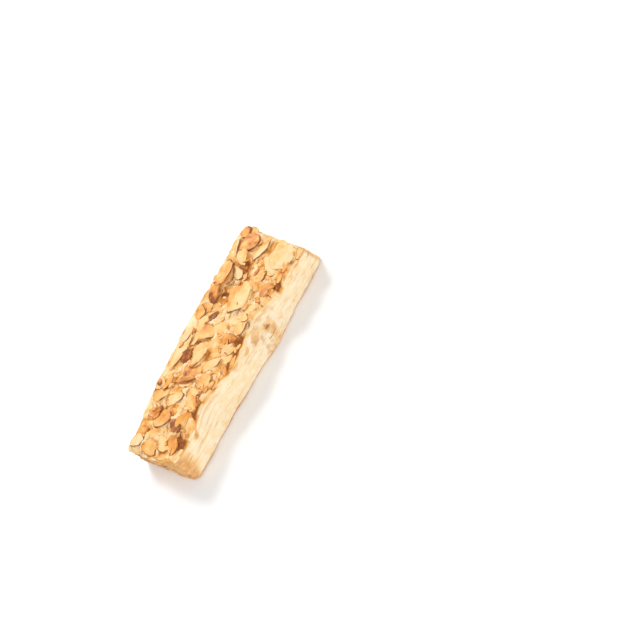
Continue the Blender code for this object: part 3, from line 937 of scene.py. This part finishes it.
def add_glaze_point(shape, x, y, soft, tight, ceiling, shade, pores, steps_in):
    """A point of the glaze's upper face. steps_in counts the mesh steps from its brim."""
    share = crust_share(x, y)
    plain = glaze_height(x, y)
    settled = level_at(soft, x, y) - (0.30 - 0.35 * share) * MM
    height = plain + (settled - plain) * (0.75 + 0.25 * share)
    height = min(height + wrinkles(x, y) * (0.4 + 0.5 * share), level_at(ceiling, x, y))
    # the glaze's real browning, with painted shade beside flakes
    toast = toast_and_shade_amount(x, y, height, tight)
    # painted shade from what stands around, most of all on the light's side
    toast = min(1.0, toast + 0.30 * level_at(shade, x, y))
    # painted shade: how far the glaze lies below the flakes' cover
    low = smooth((level_at(tight, x, y) - height - 0.35 * MM) / (2.0 * MM))
    crack, pore = crack_amount(x, y), pore_depth(x, y, pores)
    height -= 0.45 * MM * crack + 0.6 * MM * pore
    brim_height = top_height(x, y) + GLAZE_GAP + 0.75 * GLAZE_THICKNESS + 0.5 * wrinkles(x, y)
    height = brim_height + (height - brim_height) * smooth(steps_in / 4)
    # pore: painted shade, dark in pores and cracks
    return shape.add((x, y, height), pore=max(pore, 0.8 * crack), toast=toast, low=low)


def add_glaze_edge(shape, points, brim):
    """Takes the glaze from its brim over the rim and down the side, and closes it underneath."""
    shoulder, outer, low, root = [], [], [], []
    for point in points:
        x, y = point[:2]
        reach = ragged_reach(x, y)
        drop = max(0.2 * MM, glaze_drop(x, y) + 0.4 * MM * wave(x, y, 4 * MM, 78.0))
        top = top_height(x, y)
        caramel = rim_caramel(x, y) * (0.7 if y < 0 else 0.45)
        profile = (
            (shoulder, reach - 0.3 * GLAZE_RIM, top + 0.8 * MM - 0.15 * drop + 0.6 * wrinkles(x, y), 1.0),
            (outer, reach, top + 0.1 * MM - 0.4 * drop, 0.7),
            (low, reach - 0.3 * MM, top - drop - 0.2 * MM, 0.15),
            (root, -GLAZE_ROOT, top + 0.1 * MM, 0.0),
        )
        for ring, out, height, share in profile:
            look = {"pore": 0.0, "toast": 0.12 + share * caramel, "low": 0.0}
            ring.append(shape.add((*side_point(point, 1.0, out), height), **look))
    for lower, upper in ((root, low), (low, outer), (outer, shoulder), (shoulder, brim)):
        shape.join(lower, upper)
    hidden = {"pore": 0.0, "toast": 0.5, "low": 0.0}
    add_cap(shape, root, HIDDEN_RINGS, lambda x, y: (top_height(x, y) + 0.1 * MM, hidden), False)


# The flakes


def add_looks(flakes):
    """Gives each flake its tone and brown skin, which leading flakes bring with them, and its chips. The
    skin is turned mostly away from the light, as painted shadow.
    """
    rng = random.Random(SEED + 2)
    for number, flake in enumerate(flakes):
        flake["number"] = number
        tone = rng.triangular(0.04, 0.78, 0.30)
        skin = rng.choice((0.0, 0.05, 0.2, 0.45))
        flake.setdefault("tone", tone)
        flake["skin"] = 0.8 * flake.get("skin", skin)
        # the skin's side: mostly away from the light, so the brown rim paints a shadow line
        flake["skin_side"] = math.radians(SHADOW_RIM_SIDE + rng.uniform(-70, 70) - flake["heading"])
        flake["fade_side"] = rng.uniform(-math.pi, math.pi)
        flake["chipped"] = [(rng.uniform(-math.pi, math.pi), rng.uniform(0.78, 1.0)) for _ in range(4)]
    return flakes


def chipped_edge(flake, angle):
    """Point of a flake's outline, drawn in to its straight chips and small nicks."""
    x, y = flake_edge(flake, angle)
    along, across = 2 * x / flake["length"], 2 * y / flake["width"]
    share = 1.0
    for side, distance in flake["chipped"]:
        out = along * math.cos(side) + across * math.sin(side)
        if out > distance:
            share = min(share, distance / out)
    turn = Vector((math.cos(angle), math.sin(angle), 0))
    nicks = min(0.3, noise.noise(2.2 * turn + Vector((0, 0, 3.7 * flake["number"]))))
    small_nicks = min(0.3, noise.noise(8 * turn + Vector((0, 0, 5.1 * flake["number"]))))
    share *= 0.98 + 0.08 * nicks + 0.05 * small_nicks
    return x * share, y * share


def add_flake(shape, flake, place, tight):
    """One flake with chipped rims, a soft edge and a slightly uneven face."""
    half = flake.get("thickness", VISIBLE_THICKNESS) / 2
    turns = flake.get("turns", FLAKE_TURNS)
    angles = [2 * math.pi * turn / turns for turn in range(turns)]
    edges = [chipped_edge(flake, angle) for angle in angles]
    rounding = {1.0: 0.7}
    levels = {}
    for side in (-1, 1):
        rings = []
        for reach in FLAKE_RINGS:
            lift = side * half * rounding.get(reach, 1)
            ring = []
            for angle, edge in zip(angles, edges):
                ring.append(add_flake_point(shape, flake, place, tight, angle, edge, reach, lift))
            rings.append(ring)
        middle = add_flake_point(shape, flake, place, tight, 0.0, edges[0], 0.0, side * half)
        levels[side] = (middle, rings)
    middle, rings = levels[1]
    shape.fan(rings[0], middle)
    for inner, outer in zip(rings, rings[1:]):
        shape.join(outer, inner)
    under_middle, under_rings = levels[-1]
    shape.fan(under_rings[0][::-1], under_middle)
    for inner, outer in zip(under_rings, under_rings[1:]):
        shape.join(inner, outer)
    shape.join(under_rings[-1], rings[-1])


def add_flake_point(shape, flake, place, tight, angle, edge, reach, lift):
    """A point of a flake's face at a share of the way to its rim, with its tone, its skin and its painted
    shade below nearby flakes.
    """
    number = flake["number"]
    x, y = edge[0] * reach, edge[1] * reach
    ripple = 0.14 * MM * noise.noise(Vector((x / (3.5 * MM), y / (3.5 * MM), 2.3 * number)))
    spot = place @ Vector((x, y, flake_bend(flake, x, y) + ripple + lift))
    uneven = noise.noise(Vector((2.2 * math.cos(angle), 2.2 * math.sin(angle), 7.9 * number)))
    around = 0.5 + 0.5 * math.cos(angle - flake["skin_side"]) + 0.5 * uneven
    # skin: real brown rim, on the side away from the light as painted shadow
    skin = smooth((around - 1 + flake["skin"]) / 0.2) * smooth((reach - 0.88) / 0.05)
    shade = 0.34 * noise.noise(Vector((x / (5 * MM), y / (5 * MM), 1.9 * number + 50)))
    fade = 0.13 * reach * math.cos(angle - flake["fade_side"])
    tone = clamp(flake["tone"] + shade + fade + 0.08 * reach ** 3, 0.0, 1.0)
    # painted shade: how far this point lies below the flakes around it
    low = smooth((level_at(tight, spot.x, spot.y) - spot.z - 0.35 * MM) / (1.1 * MM))
    return shape.add(spot, tone=tone, skin=skin, spot=(x, y, 0.01 * number), low=low)


def flake_pieces(flakes, places, tight, shift):
    """All flakes, as one piece for each kind: pale, toasted and brown-skinned."""
    shapes = {}
    for flake, place in zip(flakes, places):
        kind = "pale" if flake["tone"] < 0.4 else "toasted" if flake["tone"] < 0.78 else "skin"
        shape = shapes.setdefault(kind, Shape("tone", "skin", "spot", "low"))
        add_flake(shape, flake, place, tight)
    return [shape.made(f"flakes_{kind}", shift) for kind, shape in shapes.items()]


def almond_chips(heights, tight, shift, first_number):
    """Small broken pieces and slivers of almond between and on the flakes."""
    rng = random.Random(SEED + 3)
    shape = Shape("tone", "skin", "spot", "low")
    sunk = Matrix.Translation((0, 0, -0.45 * MM))
    for n in range(CHIPS + FRONT_CHIPS):
        at_front = n >= CHIPS
        length = rng.uniform(3.0, 8.0) * MM * (1.4 if at_front else 1.0)
        chip = {
            "number": first_number + n,
            "x": rng.uniform(-0.46, 0.46) * LENGTH,
            "y": rng.uniform(-0.44, 0.44) * WIDTH,
            "length": length,
            "width": length * rng.uniform(0.22, 0.6),
            "heading": rng.uniform(-35, 35) if at_front else rng.uniform(-180, 180),
            "tip_lift": rng.uniform(-10, 10),
            "side_lift": rng.uniform(-20, 20),
            "arch": rng.uniform(-0.3, 0.5) * MM,
            "cup": rng.uniform(-0.2, 0.3) * MM,
            "point": rng.uniform(0.2, 0.9),
            "break": rng.uniform(0.3, 1.0),
            "slant": rng.uniform(-0.7, 0.7),
            "tone": rng.triangular(0.1, 0.95, 0.5),
            "skin": rng.choice((0.2, 0.6, 1.0)),
            "skin_side": rng.uniform(-math.pi, math.pi),
            "fade_side": rng.uniform(-math.pi, math.pi),
            "chipped": [(rng.uniform(-math.pi, math.pi), rng.uniform(0.6, 0.9)) for _ in range(3)],
            "thickness": 0.5 * MM,
            "turns": 18,
        }
        if at_front:
            chip["y"] = front_rim(chip["x"]) + rng.uniform(0.4, 2.5) * MM
        if torn(chip["x"], chip["y"]) > 0.4 and chip["y"] < front_rim(chip["x"]) + 9 * MM:
            continue
        place = sunk @ rest_flake(chip, heights)
        if place.translation.z < CAD_BOUNDS[1].z - 1.5 * MM:
            add_flake(shape, chip, place, tight)
    return shape.made("almond_chips", shift)


def topping_pieces(shift):
    """Glaze, flakes and chips, which all follow the same heights."""
    flakes = add_looks(add_bends(scattered_flakes() + leading_flakes()))
    heights, cover = new_heights(), new_cover()
    ceiling = cover + 9 * MM
    places = []
    for flake in flakes:
        places.append(rest_flake(flake, heights))
        leads = flake["number"] >= SCATTERED_FLAKES
        sunk = crust_share(flake["x"], flake["y"])
        raise_cover(cover, ceiling, flake, places[-1], 0.97 if leads else 0.9 - 0.5 * sunk)
    soft, tight = blurred(cover, 1.9 * MM), blurred(cover, 0.9 * MM)
    shade = blurred(shaded(cover), 0.35 * MM)
    pieces = [glaze_sheet(shift, soft, tight, ceiling, shade)]
    pieces += flake_pieces(flakes, places, tight, shift)
    pieces.append(almond_chips(heights, tight, shift, len(flakes)))
    return pieces


# Materials


def new_material(name):
    """A material's node tree and its Principled shader."""
    made = bpy.data.materials.new(name)
    made.use_nodes = True
    return made, made.node_tree, made.node_tree.nodes["Principled BSDF"]


def attribute(tree, name, output="Fac"):
    reader = tree.nodes.new("ShaderNodeAttribute")
    reader.attribute_name = name
    return reader.outputs[output]


def place_vector(tree):
    """Position in the object, in metres."""
    return tree.nodes.new("ShaderNodeTexCoord").outputs["Object"]


def noise_value(tree, scale, detail=3.0, vector=None, stretch=None, roughness=0.55):
    """Noise from 0 to 1. scale counts its cells in a metre."""
    texture = tree.nodes.new("ShaderNodeTexNoise")
    texture.inputs["Scale"].default_value = scale
    texture.inputs["Detail"].default_value = detail
    texture.inputs["Roughness"].default_value = roughness
    source = vector or place_vector(tree)
    if stretch:
        mapping = tree.nodes.new("ShaderNodeMapping")
        mapping.inputs["Scale"].default_value = stretch
        tree.links.new(source, mapping.inputs["Vector"])
        source = mapping.outputs["Vector"]
    tree.links.new(source, texture.inputs["Vector"])
    return texture.outputs["Fac"]


def plug(tree, socket, value):
    """Links a socket to another, or sets its number."""
    if isinstance(value, bpy.types.NodeSocket):
        tree.links.new(value, socket)
    else:
        socket.default_value = value


def calculate(tree, operation, *values, clamped=False):
    sum_node = tree.nodes.new("ShaderNodeMath")
    sum_node.operation = operation
    sum_node.use_clamp = clamped
    for socket, value in zip(sum_node.inputs, values):
        plug(tree, socket, value)
    return sum_node.outputs[0]


def ranged(tree, value, low, high, to_low=0.0, to_high=1.0):
    """Maps a value's range to another, clamped."""
    mapper = tree.nodes.new("ShaderNodeMapRange")
    plug(tree, mapper.inputs["Value"], value)
    mapper.inputs["From Min"].default_value = low
    mapper.inputs["From Max"].default_value = high
    mapper.inputs["To Min"].default_value = to_low
    mapper.inputs["To Max"].default_value = to_high
    return mapper.outputs["Result"]


def ramp(tree, factor, stops):
    """Colour ramp from (place, (r, g, b)) stops."""
    made = tree.nodes.new("ShaderNodeValToRGB")
    elements = made.color_ramp.elements
    while len(elements) < len(stops):
        elements.new(0.5)
    for element, (place, colour) in zip(elements, stops):
        element.position = place
        element.color = (*colour, 1)
    tree.links.new(factor, made.inputs["Fac"])
    return made.outputs["Color"]


def blended(tree, factor, first, second):
    """Two colours mixed by a factor."""
    mixer = tree.nodes.new("ShaderNodeMix")
    mixer.data_type = "RGBA"
    plug(tree, mixer.inputs["Factor"], factor)
    for socket, value in ((mixer.inputs[6], first), (mixer.inputs[7], second)):
        plug(tree, socket, value if isinstance(value, bpy.types.NodeSocket) else (*value, 1))
    return mixer.outputs[2]


def tinted(tree, colour, value, over, most, tint):
    """The colour, tinted by up to the share most as the value runs over its range."""
    return blended(tree, ranged(tree, value, *over, 0.0, most), colour, tint)


def bump(tree, shader, height, distance, strength=1.0):
    made = tree.nodes.new("ShaderNodeBump")
    made.inputs["Distance"].default_value = distance
    made.inputs["Strength"].default_value = strength
    tree.links.new(height, made.inputs["Height"])
    tree.links.new(made.outputs["Normal"], shader.inputs["Normal"])


def soften(shader, radius):
    """Light that sinks in a little way, as in pastry and nuts."""
    shader.inputs["Subsurface Weight"].default_value = 0.12
    shader.inputs["Subsurface Radius"].default_value = radius
    shader.inputs["Subsurface Scale"].default_value = 1.2 * MM


CREAM = (0.91, 0.71, 0.43)
WHITE_CRUMB = (0.93, 0.79, 0.58)
BISCUIT = (0.87, 0.60, 0.31)
TAN_CRUMB = (0.87, 0.57, 0.30)
# painted shade colour in the pastry's gaps
GAP_SHADE_BROWN = (0.72, 0.40, 0.16)
PALE_SPECK = (0.98, 0.90, 0.74)
GOLDEN_CRUST = (0.78, 0.42, 0.14)
BROWN_CRUST = (0.38, 0.14, 0.04)
HONEY = (0.88, 0.51, 0.18)
CARAMEL = (0.77, 0.33, 0.06)
# darkest caramel browning, also used as painted shade in pores, cracks and under flakes
DARK_CARAMEL_AND_SHADE = (0.30, 0.085, 0.02)
SET_CREAM = (0.93, 0.77, 0.49)
SET_STRAW = (0.91, 0.67, 0.36)
BROWN_SPECK = (0.66, 0.33, 0.11)
# painted shade colours for the glaze's low places between flakes
PAINTED_SHADE_HONEY = (0.88, 0.52, 0.20)
PAINTED_SHADE_BROWN = (0.50, 0.18, 0.05)


def pastry_material():
    """Baked leaves: cream inside, golden to brown where the heat reached, with painted shade in the gaps."""
    made, tree, shader = new_material("baked_pastry")
    blotches = noise_value(tree, 240, 4)
    specks = noise_value(tree, 1500, 3)
    crust = calculate(tree, "ADD", attribute(tree, "crust"), ranged(tree, blotches, 0.3, 0.75, -0.14, 0.14))
    stops = [(0.0, WHITE_CRUMB), (0.17, CREAM), (0.38, BISCUIT), (0.66, GOLDEN_CRUST), (1.0, BROWN_CRUST)]
    colour = ramp(tree, crust, stops)
    streaks = noise_value(tree, 300, 3, stretch=(0.10, 0.10, 2.2))
    colour = tinted(tree, colour, streaks, (0.52, 0.75), 0.16, BISCUIT)
    mottle = noise_value(tree, 260, 5, stretch=(0.8, 0.8, 1.2))
    colour = tinted(tree, colour, mottle, (0.44, 0.30), 0.45, TAN_CRUMB)
    unbaked = ranged(tree, crust, 0.40, 0.12)
    white = calculate(tree, "MULTIPLY", ranged(tree, mottle, 0.50, 0.64, 0.0, 0.6), unbaked)
    colour = blended(tree, white, colour, WHITE_CRUMB)
    # painted shade in the gaps between leaves
    colour = tinted(tree, colour, attribute(tree, "depth"), (0.1, 1.0), 0.9, GAP_SHADE_BROWN)
    colour = tinted(tree, colour, specks, (0.3, 0.7), 0.10, PALE_SPECK)
    tree.links.new(colour, shader.inputs["Base Color"])
    tree.links.new(ranged(tree, blotches, 0.3, 0.7, 0.72, 0.9), shader.inputs["Roughness"])
    shader.inputs["Specular IOR Level"].default_value = 0.15
    soften(shader, (1.0, 0.7, 0.4))
    relief = calculate(tree, "ADD", specks, calculate(tree, "MULTIPLY", mottle, 0.6))
    bump(tree, shader, relief, 0.25 * MM, 0.5)
    return made


def glaze_material():
    """Pale crumpled crust, golden to caramel where it browned, with painted shade where it lies low between
    flakes and painted shade dark in its cracks and pores.
    """
    made, tree, shader = new_material("set_glaze")
    patches = noise_value(tree, 190, 4)
    specks = noise_value(tree, 1100, 3)
    toast = calculate(tree, "ADD", attribute(tree, "toast"), ranged(tree, patches, 0.3, 0.7, -0.20, 0.20))
    stops = [(0.0, SET_CREAM), (0.24, SET_STRAW), (0.50, HONEY), (0.76, CARAMEL)]
    colour = ramp(tree, toast, stops + [(1.0, DARK_CARAMEL_AND_SHADE)])
    colour = tinted(tree, colour, specks, (0.63, 0.73), 0.6, BROWN_SPECK)
    low = attribute(tree, "low")
    # painted shade where the glaze lies low between flakes
    colour = tinted(tree, colour, low, (0.04, 0.40), 0.8, PAINTED_SHADE_HONEY)
    colour = tinted(tree, colour, low, (0.45, 0.95), 0.85, PAINTED_SHADE_BROWN)
    # painted shade in pores and cracks
    colour = tinted(tree, colour, attribute(tree, "pore"), (0.2, 0.9), 0.9, DARK_CARAMEL_AND_SHADE)
    tree.links.new(colour, shader.inputs["Base Color"])
    tree.links.new(ranged(tree, patches, 0.3, 0.7, 0.38, 0.62), shader.inputs["Roughness"])
    shader.inputs["Specular IOR Level"].default_value = 0.18
    soften(shader, (1.0, 0.65, 0.35))
    bump(tree, shader, calculate(tree, "ADD", specks, patches), 0.3 * MM, 0.6)
    return made


PALE_ALMOND = (0.93, 0.67, 0.37)
BUTTER_ALMOND = (0.92, 0.56, 0.21)
AMBER_ALMOND = (0.85, 0.38, 0.09)
TOAST_ALMOND = (0.66, 0.24, 0.05)
SKIN_BROWN = (0.27, 0.075, 0.022)


def almond_material(name, roughness):
    """Toasted almond: cream to brown by its tone, with a faint grain, a dark skin at the rim that also
    serves as painted shadow, and painted shade where flakes lie below others.
    """
    made, tree, shader = new_material(name)
    spot = attribute(tree, "spot", "Vector")
    grain = noise_value(tree, 700, 3, vector=spot, stretch=(0.25, 2.2, 40))
    mottle = noise_value(tree, 330, 4, vector=spot, stretch=(1, 1, 60))
    tone = calculate(tree, "ADD", attribute(tree, "tone"), ranged(tree, mottle, 0.25, 0.75, -0.18, 0.18))
    tone = calculate(tree, "ADD", tone, ranged(tree, grain, 0.3, 0.7, -0.09, 0.09), clamped=True)
    stops = [(0.0, PALE_ALMOND), (0.32, BUTTER_ALMOND), (0.60, AMBER_ALMOND), (0.82, TOAST_ALMOND)]
    colour = ramp(tree, tone, stops + [(1.0, SKIN_BROWN)])
    skin = calculate(tree, "MULTIPLY", attribute(tree, "skin"), ranged(tree, mottle, 0.3, 0.55, 0.55, 1.0))
    colour = blended(tree, skin, colour, SKIN_BROWN)
    # painted shade where the flake lies below the flakes around it
    colour = tinted(tree, colour, attribute(tree, "low"), (0.1, 1.0), 0.85, DARK_CARAMEL_AND_SHADE)
    tree.links.new(colour, shader.inputs["Base Color"])
    uneven = ranged(tree, mottle, 0.2, 0.8, roughness - 0.1, roughness + 0.12)
    tree.links.new(uneven, shader.inputs["Roughness"])
    shader.inputs["Specular IOR Level"].default_value = 0.2
    soften(shader, (1.0, 0.6, 0.3))
    bump(tree, shader, calculate(tree, "ADD", grain, mottle), 0.2 * MM, 0.5)
    return made


# Studio

FLOOR_SIZE = 6.0
FLOOR_WHITE = 0.97
SURROUND = 0.56
KEY_POWER = 4.8
FRONT_FILL_POWER = 4.6
END_FILL_POWER = 1.6


def add_floor():
    """A plain pale floor, which is stage and not part of the bar."""
    floor = bpy.data.meshes.new("floor")
    half = FLOOR_SIZE / 2
    corners = [(-half, -half, 0), (half, -half, 0), (half, half, 0), (-half, half, 0)]
    floor.from_pydata(corners, [], [(0, 1, 2, 3)])
    plate = bpy.data.objects.new("floor", floor)
    bpy.context.scene.collection.objects.link(plate)
    made, _, shader = new_material("studio_floor")
    shader.inputs["Base Color"].default_value = (FLOOR_WHITE, FLOOR_WHITE, FLOOR_WHITE, 1)
    shader.inputs["Roughness"].default_value = 0.9
    shader.inputs["Specular IOR Level"].default_value = 0.1
    floor.materials.append(made)


def area_light(name, direction, distance, size, power):
    """A square soft light that faces the bar from a direction."""
    data = bpy.data.lights.new(name, "AREA")
    data.energy = power
    data.size = size
    lamp = bpy.data.objects.new(name, data)
    away = Vector(direction).normalized()
    lamp.location = away * distance
    lamp.rotation_euler = away.to_track_quat("Z", "Y").to_euler()
    bpy.context.scene.collection.objects.link(lamp)


def add_lights():
    """A white surround, a key light from beyond the bar's back, and fills on its front and near end."""
    world = bpy.data.worlds.new("studio")
    world.use_nodes = True
    world.node_tree.nodes["Background"].inputs["Color"].default_value = (1, 1, 1, 1)
    world.node_tree.nodes["Background"].inputs["Strength"].default_value = SURROUND
    bpy.context.scene.world = world
    area_light("key", (0.30, 0.62, 0.75), 0.9, 0.3, KEY_POWER)
    area_light("fill", (-0.15, -0.85, 0.45), 1.0, 0.8, FRONT_FILL_POWER)
    area_light("end_fill", (-0.85, 0.25, 0.40), 1.0, 0.6, END_FILL_POWER)


def add_camera(shift):
    """The photograph's viewpoint, rolled because the bar leans in the photograph."""
    azimuth, elevation, roll = (math.radians(angle) for angle in (AZIMUTH, ELEVATION, ROLL))
    level = math.cos(elevation)
    back = Vector((math.sin(azimuth) * level, -math.cos(azimuth) * level, math.sin(elevation)))
    right = Vector((math.cos(azimuth), math.sin(azimuth), 0))
    up = back.cross(right)
    rolled_right = right * math.cos(roll) + up * math.sin(roll)
    rolled_up = up * math.cos(roll) - right * math.sin(roll)
    data = bpy.data.cameras.new("camera")
    data.lens = LENS
    data.sensor_width = SENSOR
    data.clip_start = 0.01
    camera = bpy.data.objects.new("camera", data)
    turn = Matrix((rolled_right, rolled_up, back)).transposed().to_4x4()
    camera.matrix_world = Matrix.Translation(AIM + shift + back * CAMERA_DISTANCE) @ turn
    bpy.context.scene.collection.objects.link(camera)
    bpy.context.scene.camera = camera


def dress(piece, made, node):
    """Gives a piece its material and body, and hides the CAD node that it stands for."""
    piece.data.materials.append(made)
    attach(piece, "root")
    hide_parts(node)


def main():
    bpy.context.scene.view_settings.view_transform = "Standard"
    shift = frame_shift()
    add_camera(shift)
    add_floor()
    add_lights()
    pastry = pastry_material()
    dress(pastry_slab(shift), pastry, "pastry")
    dress(pastry_shards(shift), pastry, "pastry")
    looks = {
        "glaze": glaze_material(),
        "flakes_pale": almond_material("pale_almond", 0.42),
        "flakes_toasted": almond_material("toasted_almond", 0.46),
        "flakes_skin": almond_material("almond_skin", 0.52),
        "almond_chips": almond_material("almond_chip", 0.5),
    }
    for piece in topping_pieces(shift):
        dress(piece, looks[piece.name], "almond_topping")


main()
